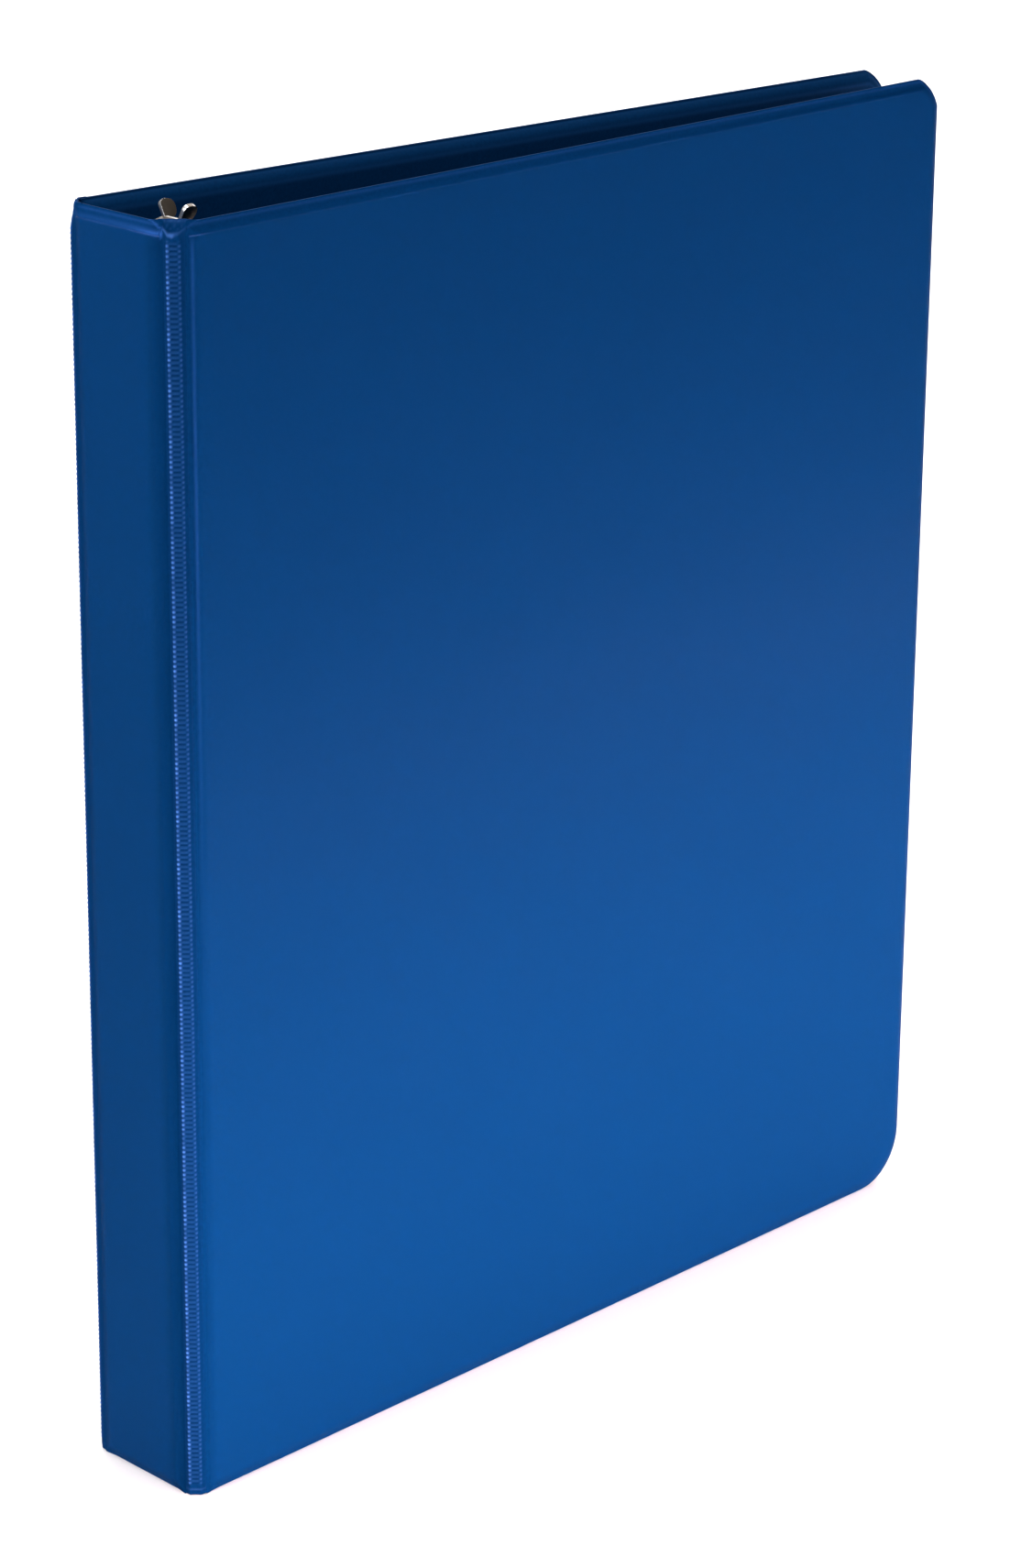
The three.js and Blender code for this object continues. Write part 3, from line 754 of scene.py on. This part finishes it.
def build_web(name, side):
    """The vinyl between spine and cover, knurled where it is welded and crumpled at its top."""
    hinge = hinges[name]
    section = smooth_path(web_section(hinge, panels["spine"], panels[name], side), WEB_POINTS)
    normal = normals_of(section, 1)
    s, n = section.T
    z = np.linspace(0, height, int(height / KNURL_PITCH * WEB_ROWS_PER_DOT))[:, None]
    top = height - z
    welded = smooth((z - WELD_BELOW) / 1.2) * smooth((top - WELD_ABOVE) / 1.4)
    hem = hump(z - 1.7, 0.25) * hump(s, 2.0)
    foot = smooth(1 - z / 2.2) * hump(s, 1.8)
    raised = knurl(s, z, welded) + 0.08 * hem - 0.25 * foot
    thickness = WEB * (0.75 + 0.25 * smooth(1.6 - np.abs(s) / 1.6))
    inner_s, inner_n = (section - normal * thickness[:, None])[::-1].T
    level_z = np.clip(z + 0 * s, 0.3, height - 0.3) + 0.4 * smooth(1 - top)
    outer = hinge.place(s + normal[:, 0] * raised, n + normal[:, 1] * raised, level_z)
    outer, fold, pressed = hinge.tuck(outer, 0.1)
    inner, _, _ = hinge.tuck(hinge.place(inner_s + 0 * z, inner_n + 0 * z, level_z), 0.7)
    grid = np.concatenate([outer, inner], 1)
    faces = tube_faces(len(z), 2 * len(s)) + flat_end_faces(len(z), 2 * len(s))
    piece = make_piece(name + "_hinge_web", grid.reshape(-1, 3), faces, hinge_vinyl)

    dots = (0.5 + 0.5 * np.cos(2 * np.pi * z / KNURL_PITCH)) ** 1.5
    uneven = 0.62 + 0.38 * np.sin(z * 0.83) * np.sin(z * 0.29 + 1)
    # painted highlights on the dots of both rows, on the rungs, and along the folds, crinkles, top edge and hem
    spine_dot_highlights = hump(s + BEAD_S, 0.22) * (0.05 + 0.9 * dots * uneven)
    cover_dot_highlights = 0.2 * hump(s - BEAD_S, 0.2) * dots
    rungs = 0.05 * between_rows(s) * (1 - dots)
    spots = smooth(np.sin(4.1 * s + 1) * np.sin(6.3 * z + 2) * 2 - 0.3) * smooth(1 - top / 3)
    fold_highlights = (0.12 + 0.3 * smooth(0.5 - s)) * fold + 0.05 * spots + 0.12 * hump(top - 0.2, 0.3)
    # painted shade in the grooves either side of the weld, over the raised weld and between its rungs
    groove_shade = 0.3 * hump(s + 2.1, 0.5) + 0.4 * hump(s - 2.0, 0.45)
    plateau_shade = 0.22 * smooth((2.0 - np.abs(s)) / 0.5)
    rung_gap_shade = 0.4 * between_rows(s) * dots
    wear_and_highlight, shade = np.zeros(grid.shape[:2]), np.zeros(grid.shape[:2])
    wear_and_highlight[:, :len(s)] = welded * (spine_dot_highlights + cover_dot_highlights + rungs) + fold_highlights * hump(s, 2.6) + 0.12 * hem
    open_shade = groove_shade * smooth(top / 4) + welded * rung_gap_shade + plateau_shade
    shade[:, :len(s)] = np.maximum(open_shade, PRESSED_SHADE * pressed)
    set_tone(piece, wear_and_highlight.reshape(-1), shade.reshape(-1))

    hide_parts(name + "_hinge_strip")
    ends = hinge.place(np.array([-BLEND_HALF, BLEND_HALF]), np.zeros(2), np.zeros(2))
    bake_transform(piece)


# ---------------- pockets ----------------

def build_pocket(panel, name, body, node):
    """A vinyl sheet welded to the liner on three sides, with a thumb notch in its open edge."""
    low, high = span(node, panel.along, panel.origin)
    floor, mouth = span(node, np.array([0.0, 0.0, 1.0]), panel.origin)
    across = np.linspace(low, high, 90)
    from_middle = (across - (low + high) / 2) / POCKET_NOTCH
    top = mouth - POCKET_NOTCH * np.sqrt(np.clip(1 - from_middle ** 2, 0, 1))
    bottom = floor + np.clip(across - (high - POCKET_CORNER), 0, POCKET_CORNER)
    share = np.linspace(0, 1, 70)[:, None]
    share = share - 0.035 * np.sin(2 * np.pi * share)
    b = bottom + share * (top - bottom)
    a = across + 0 * share
    to_weld = np.minimum(np.minimum(a - low, high - a), b - bottom)
    bulge = (POCKET_BULGE + 0.1 * waves(a, b, 3)) * smooth(to_weld / 26)
    ribs = 0.05 * (1 + np.cos(2 * np.pi * (a + b) / 1.6)) * smooth(1 - np.abs(to_weld - 1.3) / 1.2)
    rim = 0.12 * smooth(1 - to_weld / 0.5)
    back = panel.inner_depth(a, b) + POCKET_GAP + bulge
    face = back + POCKET_SHEET - rim + ribs
    points = np.concatenate([panel.place(a.ravel(), b.ravel(), depth.ravel()) for depth in (face, back)])
    faces = two_sided(grid_faces(*a.shape), border(*a.shape), a.size)
    piece = make_piece(name, points, faces, pocket_vinyl)
    # painted highlights along the rise from the weld and along the open edge
    crest_highlight = (0.5 * hump(to_weld - 2.6, 0.4) + 0.4 * hump(top - b, 0.5)).ravel()
    set_tone(piece, np.concatenate([crest_highlight, crest_highlight]))
    finish_piece(piece, body, "pocket_vinyl", node)


# ---------------- ring mechanism ----------------

class Mechanism:
    """Sizes read from the CAD nodes, in millimetres; x counts from the CAD frame's origin."""

    def __init__(self):
        low, high = (np.array(corner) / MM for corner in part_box("ring_housing"))
        self.floor, self.crown, self.half_width = low[0], high[0], high[1]
        self.bottom, self.top = low[2], high[2]
        self.middle = (self.bottom + self.top) / 2
        self.plate_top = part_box("front_ring_plate")[1].x / MM
        self.rings = [sum(c.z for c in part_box(f"front_ring_half_{i}")) / 2 / MM for i in (1, 2, 3)]
        ring_low, ring_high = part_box("front_ring_half_2")
        self.ring_outer = -ring_low.y / MM
        self.ring_x = ring_high.x / MM - self.ring_outer


def prism(name, outline, half_depth, across, up, through, origin, material):
    """An outline of (p, q) points on the axes across and up, extruded both ways along through."""
    p, q = np.array(outline, float).T
    base = np.array(origin) + np.outer(p, across) + np.outer(q, up)
    through = np.array(through) * half_depth
    count = len(outline)
    points = np.concatenate([base - through, base + through]) * MM
    faces = [tuple(range(count)), tuple(range(2 * count - 1, count - 1, -1))]
    for i in range(count):
        j = (i + 1) % count
        faces.append((i, j, j + count, i + count))
    piece = make_piece(name, points, faces, material)
    piece.data.shade_flat()
    return piece


def tube(name, path, radii, material, sides=22):
    """A round bar along a path square to Z, closed at both ends."""
    up = np.array((0, 0, 1))
    path = np.array(path)
    tangent = np.gradient(path, axis=0)
    tangent /= np.linalg.norm(tangent, axis=1)[:, None]
    side = np.cross(tangent, up)
    turn = np.linspace(0, 2 * np.pi, sides, endpoint=False)
    points = (path[:, None] + np.multiply.outer(radii, np.cos(turn))[..., None] * side[:, None]
              + np.multiply.outer(radii, np.sin(turn))[..., None] * up)
    faces = tube_faces(len(path), sides)
    faces.append(tuple(range(sides)))
    faces.append(tuple((len(path) - 1) * sides + i for i in reversed(range(sides))))
    return make_piece(name, points.reshape(-1, 3) * MM, faces, material)


def carve(piece, tools, operation="DIFFERENCE"):
    """Cuts the tools from the piece, or joins them to it."""
    for tool in tools:
        step = piece.modifiers.new("carve", "BOOLEAN")
        step.operation, step.object, step.solver = operation, tool, "EXACT"
    settle(piece)
    for tool in tools:
        bpy.data.objects.remove(tool)
    return piece


def soften(piece, width, segments=2, angle=32):
    """Rounds the sharp edges and shades the rest smooth."""
    bevel = piece.modifiers.new("soften", "BEVEL")
    bevel.width, bevel.segments, bevel.limit_method = width * MM, segments, "ANGLE"
    bevel.angle_limit = math.radians(angle)
    bevel.harden_normals = False
    settle(piece)
    piece.data.shade_smooth()
    piece.data.set_sharp_from_angle(angle=math.radians(40))
    return piece


def arc(centre, radius, start, end, steps):
    """Points of an arc between two angles in degrees."""
    return [(centre[0] + radius * math.cos(t), centre[1] + radius * math.sin(t))
            for t in np.radians(np.linspace(start, end, steps))]


def curve(start, bend, end, steps=10):
    """Points of a quadratic curve, without its start."""
    t = np.linspace(0, 1, steps)[1:, None]
    start, bend, end = (np.array(p) for p in (start, bend, end))
    return [tuple(p) for p in (1 - t) ** 2 * start + 2 * t * (1 - t) * bend + t ** 2 * end]


def rod(name, radius, centre, axis, half_length, material, steps=28):
    """A plain round bar."""
    axis = np.array(axis, float)
    side = np.array([0, 0, 1.0]) if abs(axis[2]) < 0.5 else np.array([1.0, 0, 0])
    other = np.cross(axis, side)
    outline = arc((0, 0), radius, 0, 360, steps + 1)[:-1]
    return prism(name, outline, half_length, side, other, axis, centre, material)


mech = Mechanism()


def build_housing():
    """An arched sheet with upright walls, turned-in lips, two pressed ribs, and a slot for each ring foot."""
    wall, lip = 3.1, 1.6
    half, top_of_wall = mech.half_width, mech.floor + wall
    rise = mech.crown - top_of_wall
    radius = (half ** 2 + rise ** 2) / (2 * rise)
    spread = math.degrees(math.asin(half / radius))
    centre = (mech.crown - radius, 0)
    outer = [(mech.floor + 0.05, -half + lip), (mech.floor, -half + 1.0), (mech.floor, -half + 0.45)]
    outer += arc((mech.floor + 0.45, -half + 0.45), 0.45, 200, 270, 5)
    outer += [(mech.floor + wall * f, -half) for f in (0.4, 0.7, 0.9)]
    outer += arc(centre, radius, -spread + 2, spread - 2, 45)
    outer += [(x, -y) for x, y in reversed(outer[:11])]
    outer = np.array(outer)
    normal = normals_of(outer, -1)
    inner = (outer - normal * SHEET)[::-1]
    z = np.linspace(mech.bottom, mech.top, 420)
    half_pitch = (mech.rings[1] - mech.rings[0]) / 2
    rib = np.zeros_like(z)
    for middle in (mech.rings[0] + half_pitch, mech.rings[1] + half_pitch):
        rib = np.maximum(rib, smooth((half_pitch - RIB_CLEAR - np.abs(z - middle)) / 3))
    on_crown = hump(outer[:, 1], 2.1) * (outer[:, 0] > top_of_wall)
    press = -RIB_DEPTH * rib[:, None] * on_crown
    outer_rows = outer + normal * press[..., None]
    inner_rows = inner + normal[::-1] * press[:, ::-1, None]
    flat = np.concatenate([outer_rows, inner_rows], 1)
    rows, around = flat.shape[:2]
    levels = np.broadcast_to(z[:, None, None], (rows, around, 1))
    points = np.concatenate([flat, levels], 2).reshape(-1, 3)
    faces = tube_faces(rows, around) + flat_end_faces(rows, around)
    piece = make_piece("housing", points * MM, faces, nickel_steel)
    tools = []
    for z_ring in mech.rings:
        for side in (-1, 1):
            slot = arc((0, 0), 1.9, -90, 90, 13) + [(-8, 1.9), (-8, -1.9)]
            outline = [(side * (3.5 - p), q) for p, q in slot]
            tools.append(prism("slot", outline, 5, (0, 1, 0), (0, 0, 1), (1, 0, 0),
                               (mech.plate_top + 5.2, 0, z_ring), nickel_steel))
    for end, name in ((-1, "bottom_trigger_pivot"), (1, "top_trigger_pivot")):
        rivet = (mech.crown, 0, mech.middle + end * RIVET_OFFSET)
        tools.append(rod("hole", 2.4, rivet, (1, 0, 0), 3, nickel_steel))
        x, _, z_pivot = (v / MM for v in joint_named(name)["pos_m"])
        tools.append(rod("hole", 1.15, (x, 0, z_pivot), (0, 1, 0), half + 2, nickel_steel))
    carve(piece, tools)
    soften(piece, 0.14, 2)
    finish_piece(piece, "spine", "nickel_steel", "ring_housing")


def build_ring_half(name, side, index):
    """Half a ring of round wire; its tip laps the other half's. side is -1 at the front and 1 at the rear."""
    z = mech.rings[index]
    radius = mech.ring_outer - WIRE_RADIUS
    tooth, gap, foot_y = 0.8, 0.16, 3.2   # the tooth's length past the middle, its slack, the foot's place
    start, end = -math.degrees(math.asin(tooth / radius)), 148.0
    bow = [(mech.ring_x + x, y) for x, y in arc((0, 0), radius, start, end, 60)]
    slope = math.radians(end)
    last = (mech.ring_x + radius * math.cos(slope), radius * math.sin(slope))
    reach = (last[1] - foot_y) / -math.cos(slope)
    bend = (last[0] - reach * math.sin(slope), foot_y)
    bow += curve(last, bend, (mech.plate_top + 0.05, foot_y), 16)
    path = np.array([(x, side * y, z) for x, y in bow])
    radii = WIRE_RADIUS + 0.3 * smooth(1 - (path[:, 0] - mech.plate_top) / 0.7)
    piece = tube(name, path, radii, nickel_steel)
    corners = [(-3, -2), (3, -2), (3, 2), (-3, 2)]
    lap = (mech.ring_x + radius, -side * (2 - gap / 2), z - side * 2.03)
    cutter = prism("lap", corners, 2.0, (1, 0, 0), (0, 1, 0), (0, 0, 1), lap, nickel_steel)
    carve(piece, [cutter])
    soften(piece, 0.1, 2, 50)
    body = "front_ring_plate" if side < 0 else "rear_ring_plate"
    finish_piece(piece, body, "nickel_steel", name.replace("ring", "ring_half"))


def build_trigger(end):
    """A bent tab on a knuckle, with a finger pad and two ears that lean outwards."""
    name = "top_trigger" if end > 0 else "bottom_trigger"
    x, _, z = (v / MM for v in joint_named(name + "_pivot")["pos_m"])
    half_width, half_sheet, lean_out = 2.85, 0.45, math.radians(28)
    near, far, base = 10.1, 13.9, 12.6   # the ears' near and far edges, and the pad's middle above the pin
    low, high, tip = base - half_sheet, base + half_sheet, near + 0.9
    tab = [(-1.3, -half_sheet), (1.4, -1.0), (2.0, 7.7)]
    tab += curve((2.0, 7.7), (3.45, 10.95), (near, low), 12) + [(tip, low)]
    tab += curve((tip, low), (tip + 0.4, base), (tip, high), 5) + [(near, high)]
    tab += curve((near, high), (2.55, 11.85), (1.1, 7.7), 12) + [(-0.45, 0.6)]
    piece = prism(name + "_tab", tab, half_width, (1, 0, 0), (0, 0, end), (0, 1, 0), (x, 0, z), trigger_steel_painted_light)
    ear = [(near, -0.5), (near, 2.8)] + curve((near, 2.8), (near + 0.1, 4.1), (near + 1.5, 4.1), 9)
    ear += curve((near + 1.5, 4.1), (far, 4.1), (far, 2.2), 10)
    ear += curve((far, 2.2), (far, 0.8), (far - 1.0, 0.0), 8)
    parts = [rod("knuckle", 1.85, (x, 0, z), (0, 1, 0), half_width, trigger_steel_painted_light)]
    flats = []
    for side in (-1, 1):
        rise = np.array((0, side * math.sin(lean_out), end * math.cos(lean_out)))
        through = np.array((0, math.cos(lean_out), -side * end * math.sin(lean_out)))
        origin = (x, side * (half_width - half_sheet), z + end * base)
        parts.append(prism("ear", ear, half_sheet, (1, 0, 0), rise, through, origin, trigger_steel_painted_light))
        flats.append(through)
    carve(piece, parts, "UNION")
    carve(piece, [rod("bore", 1.05, (x, 0, z), (0, 1, 0), half_width + 1, trigger_steel_painted_light)])
    soften(piece, 0.2, 3, 28)
    # the ears' rims take the pale rim colour, a painted highlight
    faces = piece.data.polygons
    normals = np.array([face.normal for face in faces], float)
    turned = np.abs(normals @ np.transpose(flats)).max(1) < RIM_TURN
    on_ears = np.array([end * (face.center.z / MM - z) > high for face in faces])
    layer = piece.data.attributes.new("wear_and_highlight", "FLOAT", "FACE")
    layer.data.foreach_set("value", (turned & on_ears).astype(float))
    finish_piece(piece, name, "nickel_steel", name)

    pin_half = mech.half_width - 0.1
    along = np.linspace(-pin_half, pin_half, 40)
    radii = 0.9 * np.sqrt(np.clip(1 - (np.abs(along) / pin_half) ** 30, 0.05, 1))
    pin = tube(name + "_pin_turned", [(x, y, z) for y in along], radii, zinc_steel)
    finish_piece(pin, "spine", "zinc_steel", name + "_pin")


def build_rivet(name, node):
    """A turned rivet: a flange in the board, a shank, and a domed head on the housing."""
    low, high = (np.array(corner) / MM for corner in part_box(node))
    z, back, crown = (low[2] + high[2]) / 2, low[0], high[0]
    dome = 1.25
    seat, edge = crown - dome, 0.15
    flange = [(0, 0.02), (0.005, 3.4), (0.1, 3.6), (0.5, 3.6), (0.6, 3.4), (0.6, 2.0)]
    profile = [(back + x, radius) for x, radius in flange] + [(seat - 0.02, 2.0), (seat, 3.5)]
    for turn in np.linspace(0, np.pi / 2, 14)[:-1]:
        profile.append((seat + edge + (dome - edge) * math.sin(turn), 3.8 * math.cos(turn)))
    radii = np.array([radius for x, radius in profile])
    piece = tube(name, [(x, 0, z) for x, radius in profile], radii, zinc_steel, 40)
    piece.data.set_sharp_from_angle(angle=math.radians(40))
    finish_piece(piece, "spine", "zinc_steel", node)


# ---------------- stage ----------------

def softbox(name, position, target, width, tall, power, colour=(1, 1, 1)):
    """A lamp with a flat face, unseen by the camera. Places are in metres and power is in watts."""
    data = bpy.data.lights.new(name, "AREA")
    data.shape, data.size, data.size_y = "RECTANGLE", width, tall
    data.energy, data.color = power, colour
    lamp = bpy.data.objects.new(name, data)
    bpy.context.scene.collection.objects.link(lamp)
    lamp.location = position
    lamp.visible_camera = False
    lamp.rotation_mode = "QUATERNION"
    lamp.rotation_quaternion = (Vector(target) - Vector(position)).to_track_quat("-Z", "Y")


def build_stage():
    """A plain pale floor and soft studio light."""
    bpy.ops.mesh.primitive_plane_add(size=30)
    floor = bpy.context.object
    floor.name = "floor"
    material, _, shader = new_material("floor")
    shader.inputs["Base Color"].default_value = (0.92, 0.92, 0.92, 1)
    shader.inputs["Roughness"].default_value = 0.9
    shader.inputs["Specular IOR Level"].default_value = 0.0
    floor.data.materials.append(material)

    world = bpy.data.worlds.new("studio")
    bpy.context.scene.world = world
    world.use_nodes = True
    background = world.node_tree.nodes["Background"]
    background.inputs["Color"].default_value = (1.0, 1.0, 1.0, 1)
    background.inputs["Strength"].default_value = 0.24

    softbox("overhead", (0.1, 0.1, 2.2), (0.1, 0.1, 0), 2.0, 2.0, 24)
    softbox("behind", (1.3, 1.3, 1.8), (1.2, 1.2, 0), 2.5, 2.5, 71)
    softbox("left", (-1.4, 0.25, 0.6), (0, 0.02, 0.15), 0.7, 0.7, 10.2)
    softbox("key", (-1.0, -0.6, 1.4), (0, 0, 0.15), 0.7, 0.7, 10)
    softbox("low_front", (0.1, -0.25, 0.045), (0.1, 0, -0.08), 0.9, 0.05, 4.5, (1, 0.72, 0.72))
    bpy.context.scene.view_settings.view_transform = "Standard"


def build_camera():
    """The camera, turned to an azimuth, a tilt down and a slight roll."""
    data = bpy.data.cameras.new("camera")
    data.lens = 100.773
    data.sensor_width = 36
    camera = bpy.data.objects.new("camera", data)
    bpy.context.scene.collection.objects.link(camera)
    azimuth, down, roll = math.radians(-44.381), math.radians(19.158), math.radians(0.424)
    level = math.cos(down)
    forward = Vector((-math.sin(azimuth) * level, math.cos(azimuth) * level, -math.sin(down)))
    rolled = Matrix.Rotation(roll, 3, "Z").to_quaternion()
    camera.location = (-0.70154, -0.70504, 0.48397)
    camera.rotation_mode = "QUATERNION"
    camera.rotation_quaternion = forward.to_track_quat("-Z", "Y") @ rolled
    bpy.context.scene.camera = camera


build_camera()
build_stage()
for name, body in (("spine", "spine"), ("front", "front_cover"), ("rear", "rear_cover")):
    panel = panels[name]
    build_skin(panel, name + "_skin", body, name + "_outer_vinyl")
    build_liner(panel, name + "_liner", body, name + "_inner_liner")
    build_film(panel, name + "_film", body, name + "_clear_overlay")
for name, side, body in (("front", -1, "front_cover"), ("rear", 1, "rear_cover")):
    build_web(name, side)
    build_pocket(panels[name], name + "_pocket", body, name + "_inner_pocket")

build_housing()
for index in range(3):
    build_ring_half(f"front_ring_{index + 1}", -1, index)
    build_ring_half(f"rear_ring_{index + 1}", 1, index)
for end in (-1, 1):
    build_trigger(end)
build_rivet("upper_rivet_turned", "upper_rivet")
build_rivet("lower_rivet_turned", "lower_rivet")

for node in frame["nodes"].values():
    if not node.hide_render:
        node.data.materials.clear()
        node.data.materials.append(grey_board if node.name.endswith("board") else nickel_steel)
